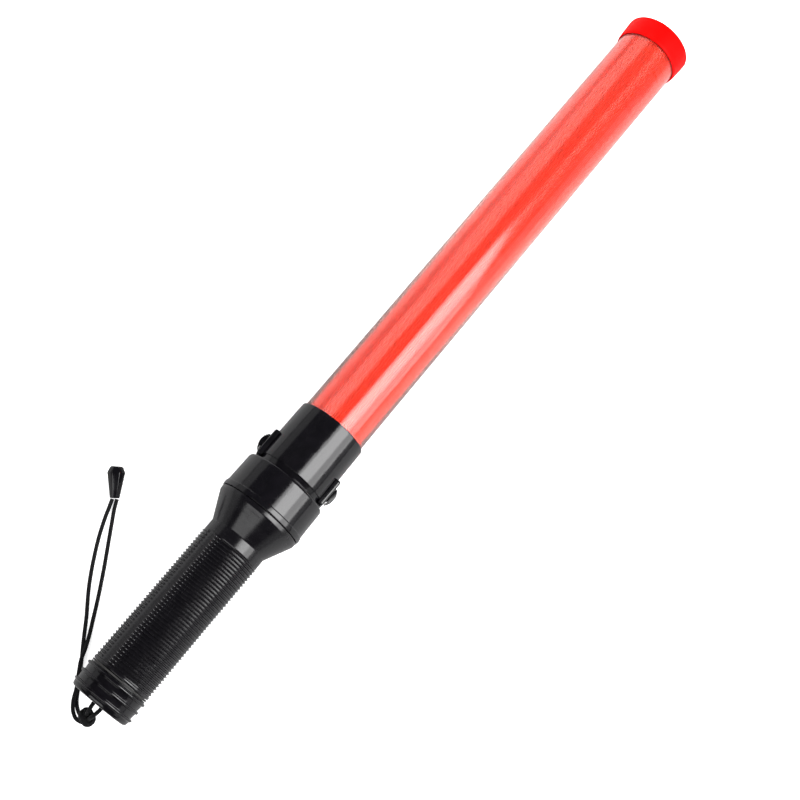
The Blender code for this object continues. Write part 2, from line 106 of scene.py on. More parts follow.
def studio():
    """A large soft lamp over the right side with a brighter heart, dim ones low on both sides and behind
    the tail, a fill that no gloss mirrors, and a pale floor."""
    softbox("main_softbox", (0.145, -0.76, 0.87), (0.145, 0.0, 0.03), (0.87, 1.32), 18.2, swing=12.0)
    softbox("softbox_heart", (0.2, -0.62, 0.92), (0.2, 0.0, 0.03), (0.7, 0.6), 6.0, swing=12.0)
    softbox("left_wall", (0.1, 1.0, 0.26), (0.1, 0.0, 0.03), (1.8, 0.45), 1.2)
    softbox("right_wall", (0.1, -1.0, 0.26), (0.1, 0.0, 0.03), (1.8, 0.4), 1.3)
    softbox("tail_softbox", (-1.0, 0.2, 0.79), (-0.14, 0.0, 0.05), (0.5, 1.0), 3.4)
    softbox("left_fill", (0.4, 0.75, 0.75), (0.2, 0.0, 0.03), (1.2, 0.8), 14.5, mirrored=False)
    world = bpy.data.worlds.new("studio")
    world.use_nodes = True
    world.node_tree.nodes["Background"].inputs["Color"].default_value = (1.0, 1.0, 1.0, 1.0)
    world.node_tree.nodes["Background"].inputs["Strength"].default_value = 0.03
    bpy.context.scene.world = world
    bpy.context.scene.view_settings.view_transform = "Standard"
    mesh = bmesh.new()
    bmesh.ops.create_grid(mesh, x_segments=1, y_segments=1, size=4.0)
    floor = new_object("floor", mesh)
    floor.data.materials.append(pale_floor())


# ---------------------------------------------------------------- making shapes


def new_object(name, mesh):
    """An object at the origin that holds the shape."""
    data = bpy.data.meshes.new(name)
    mesh.to_mesh(data)
    mesh.free()
    made = bpy.data.objects.new(name, data)
    bpy.context.scene.collection.objects.link(made)
    return made


def stand_for(node, mesh, finish, space=BATON, smooth=40.0):
    """Puts a shape in its place as the finished piece that rides and stands for a node of the frame."""
    bmesh.ops.transform(mesh, matrix=space, verts=mesh.verts)
    made = new_object("finished_" + node, mesh)
    made.data.materials.append(finish)
    made.data.shade_smooth()
    made.data.set_sharp_from_angle(angle=math.radians(smooth))
    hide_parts(node)
    bodies = frame["record"]["behaviour"]["bodies"]
    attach(made, next(body for body, nodes in bodies.items() if node in nodes))
    return made


def rounded(corners):
    """Points of an outline whose corners are (radius, height) or (radius, height, set-back), each
    corner with a set-back being rounded from that far before it to that far after it."""
    points = []
    for index, corner in enumerate(corners):
        place = Vector(corner[:2])
        if len(corner) == 2:
            points.append(place)
            continue
        before = Vector(corners[index - 1][:2])
        after = Vector(corners[(index + 1) % len(corners)][:2])
        start = place + (before - place).normalized() * corner[2]
        end = place + (after - place).normalized() * corner[2]
        for step in range(FILLET_STEPS + 1):
            t = step / FILLET_STEPS
            points.append(start * (1 - t) ** 2 + place * 2 * t * (1 - t) + end * t * t)
    return points


def spun(outline, steps=ROUND, closed=True):
    """Spins (radius, height) points about the axis. A closed outline is the section of a ring."""
    mesh = bmesh.new()
    points = [mesh.verts.new((radius, 0.0, height)) for radius, height in outline]
    following = points[1:] + points[:1] if closed else points[1:]
    edges = [mesh.edges.new(pair) for pair in zip(points, following)]
    bmesh.ops.spin(
        mesh, geom=points + edges, axis=(0.0, 0.0, 1.0), angle=math.tau, steps=steps, use_merge=True
    )
    bmesh.ops.remove_doubles(mesh, verts=mesh.verts, dist=0.001)
    bmesh.ops.recalc_face_normals(mesh, faces=mesh.faces)
    return mesh


def block(centre, size, width=0.0, segments=3):
    """A box, with its edges rounded if a width is given."""
    mesh = bmesh.new()
    scale = Matrix.Diagonal((*size, 1.0))
    bmesh.ops.create_cube(mesh, size=1.0, matrix=Matrix.Translation(centre) @ scale)
    if width:
        bmesh.ops.bevel(
            mesh, geom=mesh.edges, offset=width, offset_type="OFFSET", affect="EDGES",
            segments=segments, profile=0.5, material=-1, clamp_overlap=True,
        )
    return mesh


def pin(radius, bottom, top, sides=SMALL_ROUND, space=Matrix()):
    """A plain round bar, for cutting."""
    mesh = bmesh.new()
    place = space @ Matrix.Translation((0.0, 0.0, (bottom + top) / 2))
    bmesh.ops.create_cone(
        mesh, cap_ends=True, segments=sides, radius1=radius, radius2=radius, depth=top - bottom,
        matrix=place,
    )
    return mesh


def combined(mesh, tools, operation="DIFFERENCE"):
    """Cuts other shapes out of a shape, or joins them to it."""
    made = new_object("work", mesh)
    helpers = [new_object("tool", tool) for tool in tools]
    for helper in helpers:
        step = made.modifiers.new("step", "BOOLEAN")
        step.operation = operation
        step.object = helper
        step.solver = "EXACT"
    bpy.context.view_layer.update()
    evaluated = made.evaluated_get(bpy.context.evaluated_depsgraph_get())
    result = bmesh.new()
    result.from_mesh(evaluated.to_mesh())
    for item in [made, *helpers]:
        bpy.data.objects.remove(item)
    return result


def smooth_route(points, step):
    """Points about one step apart along a smooth curve through the route's own points."""
    knots = [Vector(point) for point in points]
    padded = [2 * knots[0] - knots[1]] + knots + [2 * knots[-1] - knots[-2]]
    fine = []
    for before, start, end, after in zip(padded, padded[1:], padded[2:], padded[3:]):
        count = max(1, round((end - start).length / step))
        for part in range(count):
            t = part / count
            bend = 2 * before - 5 * start + 4 * end - after
            swing = -before + 3 * start - 3 * end + after
            fine.append(start + 0.5 * (t * (end - before) + t * t * bend + t * t * t * swing))
    return fine + [knots[-1]]


def drawn_along(route, radius, sides, relief=None):
    """A round bar along a route, from a sheet that is rolled round it. relief gives how much a place
    stands out, from its turn about the route and its distance along it. The UV map follows the bar."""
    mesh = bmesh.new()
    rings = len(route) - 1
    bmesh.ops.create_grid(mesh, x_segments=sides, y_segments=rings, size=0.5)
    uv = mesh.loops.layers.uv.new("UVMap")
    travelled = [0.0]
    for first, second in zip(route, route[1:]):
        travelled.append(travelled[-1] + (second - first).length)
    across = Vector((0.0, 0.0, 1.0)).cross(route[1] - route[0]).normalized()
    frames = []
    for index in range(rings + 1):
        along = (route[min(index + 1, rings)] - route[max(index - 1, 0)]).normalized()
        across = (across - along * across.dot(along)).normalized()
        frames.append((across, along.cross(across)))
    for face in mesh.faces:
        for loop in face.loops:
            ring = round((loop.vert.co.y + 0.5) * rings)
            loop[uv].uv = (loop.vert.co.x + 0.5, travelled[ring] / (math.tau * radius))
    for vert in mesh.verts:
        ring = round((vert.co.y + 0.5) * rings)
        turn = math.tau * (vert.co.x + 0.5)
        reach = radius + (relief(turn, travelled[ring]) if relief else 0.0)
        first, second = frames[ring]
        vert.co = route[ring] + (first * math.cos(turn) + second * math.sin(turn)) * reach
    bmesh.ops.remove_doubles(mesh, verts=mesh.verts, dist=0.0005)
    bmesh.ops.holes_fill(mesh, edges=[edge for edge in mesh.edges if edge.is_boundary], sides=0)
    bmesh.ops.recalc_face_normals(mesh, faces=mesh.faces)
    return mesh


# ---------------------------------------------------------------- nodes for the finishes


def put(tree, kind, inputs=None, **settings):
    """Adds a node, with its settings, and with its inputs given as values or as other nodes' outputs."""
    made = tree.nodes.new(kind)
    for name, value in settings.items():
        setattr(made, name, value)
    for name, value in (inputs or {}).items():
        if isinstance(value, bpy.types.NodeSocket):
            tree.links.new(value, made.inputs[name])
        else:
            made.inputs[name].default_value = value
    return made


def maths(tree, operation, first, second=0.0):
    return put(tree, "ShaderNodeMath", {0: first, 1: second}, operation=operation).outputs[0]


def ramp(tree, value, low, high, start=0.0, end=1.0):
    """start up to low, end from high on, and an even change between them."""
    inputs = {"Value": value, "From Min": low, "From Max": high, "To Min": start, "To Max": end}
    return put(tree, "ShaderNodeMapRange", inputs).outputs[0]


def blended(tree, share, first, second):
    """One colour mixed into another."""
    made = put(tree, "ShaderNodeMix", {0: share, 6: first, 7: second}, data_type="RGBA")
    return made.outputs[2]


def noise(tree, place, scale, detail=2.0, distortion=0.0):
    inputs = {"Vector": place, "Scale": scale, "Detail": detail, "Distortion": distortion}
    return put(tree, "ShaderNodeTexNoise", inputs).outputs["Fac"]


def group(name, inputs, outputs):
    """An empty node group with named sockets, and its two end nodes."""
    tree = bpy.data.node_groups.new(name, "ShaderNodeTree")
    for kind, names in (("INPUT", inputs), ("OUTPUT", outputs)):
        for socket, form in names.items():
            tree.interface.new_socket(socket, in_out=kind, socket_type="NodeSocket" + form)
    return tree, tree.nodes.new("NodeGroupInput"), tree.nodes.new("NodeGroupOutput")


def moulded_grain():
    """The skin of moulded plastic: fine grain, the flow marks under it, and their colour mottle."""
    tree, given, result = group(
        "moulded_grain", {"Place": "Vector", "Grain": "Float", "Flow": "Float"},
        {"Height": "Float", "Mottle": "Float"},
    )
    fine = noise(tree, given.outputs["Place"], given.outputs["Grain"], detail=3.0)
    flow = noise(tree, given.outputs["Place"], given.outputs["Flow"], detail=2.0, distortion=0.6)
    height = maths(tree, "ADD", maths(tree, "MULTIPLY", fine, 0.25), flow)
    tree.links.new(height, result.inputs["Height"])
    tree.links.new(ramp(tree, flow, 0.35, 0.65), result.inputs["Mottle"])
    return tree


def handling_wear_and_edge_shade():
    """Where hands and tables have worn it: hairline scratches, and a mask of sharp edges in patches, for
    worn edges or for painted edge shade.
    """
    tree, given, result = group(
        "handling_wear_and_edge_shade", {"Place": "Vector", "Scratches": "Float", "Edges": "Float"},
        {"Scratch": "Float", "Edge": "Float"},
    )
    masks = []
    for turn, stretch in ((0.5, (30.0, 900.0, 900.0)), (1.9, (1100.0, 40.0, 700.0))):
        mapping = put(
            tree, "ShaderNodeMapping",
            {"Vector": given.outputs["Place"], "Rotation": (0.0, 0.0, turn), "Scale": stretch},
        )
        line = noise(tree, mapping.outputs[0], 1.0, detail=1.0)
        masks.append(ramp(tree, line, 0.66, 0.74))
    patches = noise(tree, given.outputs["Place"], 90.0, detail=3.0)
    lines = maths(tree, "MAXIMUM", *masks)
    lines = maths(tree, "MULTIPLY", lines, ramp(tree, patches, 0.42, 0.62))
    lines = maths(tree, "MULTIPLY", lines, given.outputs["Scratches"])
    tree.links.new(lines, result.inputs["Scratch"])
    sharpness = tree.nodes.new("ShaderNodeNewGeometry").outputs["Pointiness"]
    edge = maths(tree, "MULTIPLY", ramp(tree, sharpness, 0.52, 0.60), ramp(tree, patches, 0.35, 0.6))
    edge = maths(tree, "MULTIPLY", edge, given.outputs["Edges"])
    tree.links.new(edge, result.inputs["Edge"])
    return tree


def settled_dust():
    """Pale specks, and a thin film on what faces up."""
    tree, given, result = group("settled_dust", {"Place": "Vector", "Amount": "Float"}, {"Dust": "Float"})
    specks = ramp(tree, noise(tree, given.outputs["Place"], 1400.0, detail=1.0), 0.70, 0.78)
    normal = tree.nodes.new("ShaderNodeNewGeometry").outputs["Normal"]
    up = ramp(tree, put(tree, "ShaderNodeSeparateXYZ", {0: normal}).outputs["Z"], 0.2, 1.0)
    film = maths(tree, "MULTIPLY", ramp(tree, noise(tree, given.outputs["Place"], 60.0, 4.0), 0.4, 0.8), 0.3)
    both = maths(tree, "MULTIPLY", maths(tree, "MAXIMUM", specks, film), up)
    tree.links.new(maths(tree, "MULTIPLY", both, given.outputs["Amount"]), result.inputs["Dust"])
    return tree


def braid():
    """Two sets of yarns laid over and under each other, in the UV map of a cord."""
    tree, given, result = group(
        "braid", {"UV": "Vector", "Yarns": "Float"}, {"Height": "Float", "Shade": "Float"}
    )
    parts = put(tree, "ShaderNodeSeparateXYZ", {0: given.outputs["UV"]})
    around = maths(tree, "MULTIPLY", parts.outputs["X"], given.outputs["Yarns"])
    along = maths(tree, "MULTIPLY", parts.outputs["Y"], given.outputs["Yarns"])
    waves = []
    for operation in ("ADD", "SUBTRACT"):
        turn = maths(tree, "MULTIPLY", maths(tree, operation, around, along), math.tau)
        waves.append(maths(tree, "SINE", turn))
    tree.links.new(ramp(tree, maths(tree, "MAXIMUM", *waves), -1.0, 1.0), result.inputs["Height"])
    tree.links.new(ramp(tree, maths(tree, "MULTIPLY", *waves), -1.0, 1.0), result.inputs["Shade"])
    return tree


GRAIN = moulded_grain()
WEAR_AND_EDGE_SHADE = handling_wear_and_edge_shade()
DUST = settled_dust()
BRAID = braid()


def use(tree, node_group, inputs):
    """The outputs of a shared effect, placed in a material with its own values."""
    return put(tree, "ShaderNodeGroup", inputs, node_tree=node_group).outputs


def blank(name, slot):
    """A new material with its Principled shader, and its Object coordinates."""
    made = bpy.data.materials.new(name)
    made.use_nodes = True
    made["slot"] = slot
    tree = made.node_tree
    place = tree.nodes.new("ShaderNodeTexCoord").outputs["Object"]
    return made, tree, tree.nodes["Principled BSDF"], place


def bump(tree, shader, height, distance):
    made = put(tree, "ShaderNodeBump", {"Height": height, "Distance": distance, "Strength": 1.0})
    tree.links.new(made.outputs[0], shader.inputs["Normal"])


def plastic(name, slot, colour, mottled, worn_or_shaded_edge, roughness, grain, flow, depth,
            coat=0.0, scratches=0.6, edges=0.25, dust=0.008, ior=1.5):
    """Moulded plastic with its grain, mottle, scratches, edge colour and dust. A lighter edge colour marks
    worn edges; a darker one is painted shade along the edges.
    """
    made, tree, shader, place = blank(name, slot)
    skin = use(tree, GRAIN, {"Place": place, "Grain": grain, "Flow": flow})
    wear_and_edge_shade = use(tree, WEAR_AND_EDGE_SHADE, {"Place": place, "Scratches": scratches, "Edges": edges})
    film = use(tree, DUST, {"Place": place, "Amount": dust})
    base = blended(tree, skin["Mottle"], (*colour, 1.0), (*mottled, 1.0))
    # Sharp edges in patches take the edge colour: worn edges where it is lighter, painted edge shade where
    # it is darker, as on the red cap.
    base = blended(tree, wear_and_edge_shade["Edge"], base, (*worn_or_shaded_edge, 1.0))
    base = blended(tree, film["Dust"], base, (0.45, 0.43, 0.40, 1.0))
    tree.links.new(base, shader.inputs["Base Color"])
    dull = maths(tree, "ADD", maths(tree, "MULTIPLY", wear_and_edge_shade["Scratch"], 0.25), film["Dust"])
    dull = maths(tree, "ADD", dull, ramp(tree, skin["Mottle"], 0.0, 1.0, roughness * 0.9, roughness * 1.2))
    dull = maths(tree, "ADD", dull, maths(tree, "MULTIPLY", wear_and_edge_shade["Edge"], 0.2))
    tree.links.new(dull, shader.inputs["Roughness"])
    shader.inputs["IOR"].default_value = ior
    shader.inputs["Coat Weight"].default_value = coat
    shader.inputs["Coat Roughness"].default_value = 0.08
    bump(tree, shader, skin["Height"], depth)
    return made


def metal(name, slot, colour, tarnish, roughness):
    """Plain metal with a brushed grain and a light tarnish."""
    made, tree, shader, place = blank(name, slot)
    lines = put(tree, "ShaderNodeMapping", {"Vector": place, "Scale": (60.0, 900.0, 900.0)}).outputs[0]
    grain = noise(tree, lines, 1.0, detail=2.0)
    cloud = noise(tree, place, 120.0, detail=4.0, distortion=0.4)
    base = blended(tree, ramp(tree, cloud, 0.45, 0.75), (*colour, 1.0), (*tarnish, 1.0))
    tree.links.new(base, shader.inputs["Base Color"])
    rough = ramp(tree, grain, 0.3, 0.7, roughness * 0.7, roughness * 1.5)
    tree.links.new(rough, shader.inputs["Roughness"])
    shader.inputs["Metallic"].default_value = 1.0
    bump(tree, shader, grain, 0.00002)
    return made


def tube_plastic():
    """The clear red wall of the light tube, with faint drawing lines along it."""
    made, tree, shader, place = blank("clear_red_tube", "red_tube")
    lines = put(tree, "ShaderNodeMapping", {"Vector": place, "Scale": (6.0, 700.0, 700.0)}).outputs[0]
    drawn = noise(tree, lines, 1.0, detail=2.0)
    wear_and_edge_shade = use(tree, WEAR_AND_EDGE_SHADE, {"Place": place, "Scratches": 0.5, "Edges": 0.0})
    film = use(tree, DUST, {"Place": place, "Amount": 0.03})
    tint = blended(tree, ramp(tree, drawn, 0.3, 0.7), (1.0, 0.47, 0.39, 1.0), (1.0, 0.53, 0.45, 1.0))
    tree.links.new(tint, shader.inputs["Base Color"])
    dull = maths(tree, "ADD", maths(tree, "MULTIPLY", wear_and_edge_shade["Scratch"], 0.2), film["Dust"])
    dull = maths(tree, "ADD", dull, ramp(tree, drawn, 0.3, 0.7, 0.08, 0.15))
    tree.links.new(dull, shader.inputs["Roughness"])
    shader.inputs["Transmission Weight"].default_value = 1.0
    shader.inputs["Sheen Weight"].default_value = 0.2
    shader.inputs["Sheen Roughness"].default_value = 0.5
    shader.inputs["IOR"].default_value = 1.49
    bump(tree, shader, drawn, 0.00003)
    return made


def film_plastic():
    """The prism film: a warm red sheet, crossed by fine lines, with painted shade in its grooves that is
    strongest near the lamp."""
    made, tree, shader, place = blank("prism_film", "red_film")
    rings = put(tree, "ShaderNodeMapping", {"Vector": place, "Scale": (900.0, 30.0, 30.0)}).outputs[0]
    cross = noise(tree, rings, 1.0, detail=1.0)
    cloud = noise(tree, place, 25.0, detail=3.0)
    warm = blended(tree, ramp(tree, cloud, 0.35, 0.65), (0.95, 0.12, 0.05, 1.0), (0.95, 0.15, 0.065, 1.0))
    base = blended(tree, ramp(tree, cross, 0.3, 0.7, 0.0, 0.25), warm, (0.8, 0.04, 0.02, 1.0))
    # Painted shade: the grooves, found by their pointiness, are darkened to a deep red, more at the lamp end
    # than towards the tip.
    groove = tree.nodes.new("ShaderNodeNewGeometry").outputs["Pointiness"]
    along = put(tree, "ShaderNodeSeparateXYZ", {0: place}).outputs["X"]
    depth = ramp(tree, along, -0.05, 0.12, 0.9, 0.45)
    lines = maths(tree, "MULTIPLY", ramp(tree, groove, 0.44, 0.51, 1.0, 0.0), depth)
    base = blended(tree, lines, base, (0.30, 0.006, 0.003, 1.0))
    tree.links.new(base, shader.inputs["Base Color"])
    tree.links.new(ramp(tree, cross, 0.3, 0.7, 0.25, 0.4), shader.inputs["Roughness"])
    shader.inputs["Sheen Weight"].default_value = 0.6
    shader.inputs["Sheen Roughness"].default_value = 0.4
    bump(tree, shader, cross, 0.0001)
    return made


def cord_weave():
    """Black braided cord."""
    made, tree, shader, place = blank("braided_cord", "strap_cord")
    uv = tree.nodes.new("ShaderNodeTexCoord").outputs["UV"]
    weave = use(tree, BRAID, {"UV": uv, "Yarns": 6.0})
    fuzz = noise(tree, place, 4000.0, detail=2.0)
    base = blended(tree, weave["Shade"], (0.003, 0.003, 0.0035, 1.0), (0.009, 0.009, 0.010, 1.0))
    base = blended(tree, ramp(tree, fuzz, 0.6, 0.8, 0.0, 0.3), base, (0.03, 0.03, 0.033, 1.0))
    tree.links.new(base, shader.inputs["Base Color"])
    tree.links.new(ramp(tree, fuzz, 0.3, 0.7, 0.45, 0.7), shader.inputs["Roughness"])
    shader.inputs["Sheen Weight"].default_value = 0.03
    shader.inputs["IOR"].default_value = 1.22
    bump(tree, shader, maths(tree, "ADD", weave["Height"], maths(tree, "MULTIPLY", fuzz, 0.4)), 0.00006)
    return made


def pale_floor():
    """White studio card, brighter where the camera sees it and dimmer where gloss mirrors it."""
    made = bpy.data.materials.new("pale_floor")
    made.use_nodes = True
    tree = made.node_tree
    shader = tree.nodes["Principled BSDF"]
    shader.inputs["Roughness"].default_value = 0.9
    shader.inputs["Specular IOR Level"].default_value = 0.0
    shader.inputs["Emission Color"].default_value = (1.0, 1.0, 1.0, 1.0)
    path = tree.nodes.new("ShaderNodeLightPath").outputs
    glow = ramp(tree, path["Is Camera Ray"], 0.0, 1.0, 0.0, 0.75)
    tree.links.new(glow, shader.inputs["Emission Strength"])
    mirrored = maths(tree, "SUBTRACT", path["Is Glossy Ray"], path["Is Transmission Ray"])
    tree.links.new(ramp(tree, mirrored, 0.0, 1.0, 0.92, 0.45), shader.inputs["Base Color"])
    return made


GLOSS = plastic(
    "gloss_black_plastic", "black_gloss", (0.0030, 0.0028, 0.0038), (0.0042, 0.0038, 0.0052),
    (0.03, 0.03, 0.032), 0.12, 1500.0, 160.0, 0.00005,
)
SATIN = plastic(
    "black_handle_plastic", "black_satin", (0.0036, 0.0033, 0.0045), (0.0048, 0.0044, 0.0058),
    (0.03, 0.03, 0.032), 0.18, 2200.0, 180.0, 0.00005,
)
# Its edge colour is a dark red: painted shade along the cap's rims and lip, in patches.
CAP_RED = plastic(
    "red_cap_plastic", "red_cap", (0.90, 0.0015, 0.001), (0.84, 0.001, 0.0008), (0.2, 0.0, 0.002),
    0.5, 1500.0, 140.0, 0.00003, scratches=0.4, edges=0.8, ior=1.15,
)
TUBE_RED = tube_plastic()
FILM_RED = film_plastic()
RUBBER = plastic(
    "seal_rubber", "seal_rubber", (0.012, 0.012, 0.012), (0.02, 0.02, 0.02), (0.04, 0.04, 0.04),
    0.7, 2500.0, 300.0, 0.0001, dust=0.3,
)
WEAVE = cord_weave()
STEEL = metal("plated_steel", "steel", (0.62, 0.62, 0.63), (0.45, 0.44, 0.42), 0.25)
BRASS = metal("brass", "brass", (0.78, 0.58, 0.26), (0.50, 0.33, 0.14), 0.3)
MIRROR = metal("mirror_coat", "mirror_coat", (0.92, 0.92, 0.92), (0.85, 0.85, 0.84), 0.05)
JACKET = plastic(
    "cell_jacket", "cell_jacket", (0.20, 0.22, 0.26), (0.24, 0.26, 0.30), (0.5, 0.5, 0.5),
    0.3, 900.0, 90.0, 0.00004, coat=0.5,
)
BOARD = plastic(
    "circuit_board", "circuit_board", (0.015, 0.14, 0.05), (0.02, 0.20, 0.07), (0.4, 0.3, 0.12),
    0.35, 1800.0, 420.0, 0.0001, coat=0.3,
)
DIODE = plastic(
    "red_diode", "red_led", (0.85, 0.03, 0.02), (0.9, 0.05, 0.03), (1.0, 0.3, 0.2), 0.1, 800.0,
    90.0, 0.00002, coat=0.5, dust=0.0,
)
RED_LEAD = plastic(
    "red_lead", "red_wire", (0.55, 0.015, 0.015), (0.62, 0.02, 0.02), (0.7, 0.1, 0.1), 0.45, 2500.0,
    300.0, 0.00004,
)
BLACK_LEAD = plastic(
    "black_lead", "black_wire", (0.015, 0.015, 0.015), (0.02, 0.02, 0.02), (0.05, 0.05, 0.05), 0.45,
    2500.0, 300.0, 0.00004,
)


# ---------------------------------------------------------------- the strap

# Its two strands, in metres: how far in front of the tail's end face, to the side and above the floor
LOWER_STRAND = [
    (0.0019, 0.0026, 0.0289), (-0.0015, 0.0025, 0.0289), (-0.0043, 0.0021, 0.0280),
    (-0.0063, 0.0018, 0.0254), (-0.0075, 0.0017, 0.0218), (-0.0084, 0.0019, 0.0187),
    (-0.0092, 0.0021, 0.0157), (-0.0102, 0.0027, 0.0124), (-0.0109, 0.0042, 0.0086),
    (-0.0103, 0.0068, 0.0049), (-0.0084, 0.0098, 0.0023), (-0.0056, 0.0124, 0.0013),
    (-0.0020, 0.0148, 0.0012), (0.0030, 0.0182, 0.0012), (0.0074, 0.0212, 0.0012),
    (0.0130, 0.0252, 0.0012), (0.0216, 0.0314, 0.0012), (0.0320, 0.0386, 0.0012),
    (0.0428, 0.0468, 0.0012), (0.0538, 0.0540, 0.0012), (0.0685, 0.0622, 0.0012),
    (0.0800, 0.0674, 0.0012), (0.0864, 0.0698, 0.0015), (0.0911, 0.0715, 0.0025),
]
UPPER_STRAND = [
    (0.0019, -0.0026, 0.0289), (-0.0015, -0.0025, 0.0290), (-0.0048, -0.0020, 0.0286),
    (-0.0074, -0.0014, 0.0260), (-0.0086, -0.0010, 0.0219), (-0.0094, -0.0008, 0.0189),
    (-0.0103, -0.0006, 0.0158), (-0.0119, -0.0001, 0.0124), (-0.0135, 0.0020, 0.0094),
    (-0.0137, 0.0057, 0.0072), (-0.0115, 0.0095, 0.0058), (-0.0083, 0.0123, 0.0048),
    (-0.0051, 0.0142, 0.0042), (-0.0020, 0.0157, 0.0039), (0.0030, 0.0189, 0.0039),
    (0.0074, 0.0218, 0.00395), (0.0118, 0.0244, 0.0040), (0.0178, 0.0267, 0.0036),
    (0.0248, 0.0301, 0.0017), (0.0320, 0.0340, 0.0012), (0.0434, 0.0402, 0.0012),
    (0.0580, 0.0487, 0.0012), (0.0724, 0.0576, 0.0012), (0.0813, 0.0631, 0.0012),
    (0.0874, 0.0668, 0.0015), (0.0927, 0.0694, 0.0025),
]
CORD_RADIUS = 1.15
CORD_SIDES = 30
CORD_STEP = 0.3
YARNS = 6
TOGGLE_SIDES = 8
KNOT_STEPS = 48  # in each turn of the knot
KNOT_CORE = (4.3, 2.9, 2.5)  # half sizes
HOLE_OFFSET = 2.6  # of the strap's holes, to each side of the axis


def yarns(turn, travelled):
    """The relief of the braid on a cord."""
    lay = YARNS * travelled / CORD_RADIUS
    return 0.05 * max(math.sin(YARNS * turn + lay), math.sin(YARNS * turn - lay)) - 0.03


def strand(node, points, pieces):
    """One strand of the strap, from its hole in the tail cap to the toggle."""
    route = smooth_route([Vector(point) / MM for point in points], CORD_STEP)
    made = stand_for(node, drawn_along(route, CORD_RADIUS, CORD_SIDES, yarns), WEAVE, STRAP)


def strap_knot():
    """Two turns of cord wound round both strands, over the turn that fills the knot."""
    centre = (-8.9, 0.55, 18.8)
    heading = Vector((-0.27, 0.05, -0.96))
    across = Vector((0.36, 0.93, -0.05))
    turns, half_gap, reach, rise = 2, 1.35, 2 * CORD_RADIUS + 0.35, 2.6
    route = []
    for step in range(turns * KNOT_STEPS + 1):
        turn = math.tau * step / KNOT_STEPS
        shift = half_gap * math.tanh(6 * math.cos(turn))
        height = rise * (step / KNOT_STEPS - turns / 2)
        route.append(Vector((reach * math.cos(turn) + shift, reach * math.sin(turn), height)))
    heading.normalize()
    across = (across - heading * across.dot(heading)).normalized()
    turn = Matrix((across, heading.cross(across), heading)).transposed().to_4x4()
    place = Matrix.Translation(centre) @ turn
    wound = drawn_along(route, 1.12 * CORD_RADIUS, CORD_SIDES, yarns)
    core = Matrix.Diagonal((*KNOT_CORE, 1.0))
    bmesh.ops.create_icosphere(wound, subdivisions=4, radius=1.0, matrix=core)
    return stand_for("strap_knot", wound, WEAVE, STRAP @ place)


def strap_bight():
    """The middle of the cord, looped behind the tail cap's end wall."""
    route = []
    for step in range(25):
        turn = math.pi * step / 24
        route.append(Vector((0.0, HOLE_OFFSET * math.cos(turn), 2.3 + HOLE_OFFSET * math.sin(turn))))
    stand_for("strap_bight", drawn_along(route, CORD_RADIUS, CORD_SIDES, yarns), WEAVE)


def strap_toggle():
    """The bell-shaped bead at the end of the strap, with eight sides and rounded edges."""
    outline = [(0.0, 18.5), (3.3, 18.5), (4.1, 17.8), (5.5, 14.8), (5.2, 13.2), (2.95, 0.0), (0.0, 0.0)]
    mesh = spun(outline, steps=TOGGLE_SIDES, closed=False)
    bmesh.ops.bevel(
        mesh, geom=[edge for edge in mesh.edges if edge.calc_face_angle() > math.radians(8)],
        offset=0.3, offset_type="OFFSET", affect="EDGES", segments=3, profile=0.5, material=-1,
        clamp_overlap=True,
    )
    lean = Matrix.Rotation(math.radians(37.0), 4, "Z") @ Matrix.Rotation(math.radians(81.0), 4, "Y")
    half_side = Matrix.Rotation(math.pi / TOGGLE_SIDES, 4, "Z")
    place = STRAP @ Matrix.Translation((92.3, 70.8, 2.75)) @ lean @ half_side
    return stand_for("strap_toggle", mesh, GLOSS, place)


camera()
strand("strap_strand_lower", LOWER_STRAND, [strap_toggle()])
strand("strap_strand_upper", UPPER_STRAND, [strap_knot()])
strap_bight()
studio()


# ---------------------------------------------------------------- handle and head

BORE = 17.4
STRIP_GROOVE = 0.62  # depth in the bore
GRIP_VALLEY = 18.35
GRIP_CREST = 19.2
FIRST_RIB = 21.5
RIB_PITCH = 2.074
RIBS = 43
GRIP_SIDES = 180
GRIP_END = FIRST_RIB + (RIBS - 0.5) * RIB_PITCH
RIB_SECTION = (  # along the axis from the crest, and out from it
    (-0.62, -0.85), (-0.38, -0.36), (-0.09, -0.05), (0.0, 0.0), (0.12, -0.05), (0.38, -0.38),
    (0.62, -0.94),
)
RIB_GAPS = ((18.5, 22.5), (26.5, 31.5), (35.5, 53.0))  # degrees round from the side that faces up
BEADS = (14.9, 9.7, 4.4)
FILM_RIBS = 86
FILM_DEPTH = 0.4
SLOT_MIDDLE = 170.6
SLOT_WIDTH = 6.8
SLOT_LENGTH = 13.4


def grip_outline():
    """The outer line of the grip, from the tail to the neck, with its ring ribs."""
    points = [(18.4, 18.2), (18.8, 18.5), (18.9, 18.9), (18.9, 19.6), (18.75, 19.95), (GRIP_VALLEY, 20.2)]
    for rib in range(RIBS):
        crest = FIRST_RIB + rib * RIB_PITCH
        points += [(GRIP_CREST + fall, crest + along) for along, fall in RIB_SECTION]
    return points


def cone_outline():
    """The neck, the flared cone and the narrow band above it."""
    return rounded([
        (GRIP_VALLEY, GRIP_END), (18.6, GRIP_END + 0.3, 0.15), (18.6, 116.6, 0.5), (26.6, 132.8, 0.4),
        (26.75, 135.4, 0.35), (24.5, 135.4),
    ])[1:-1]


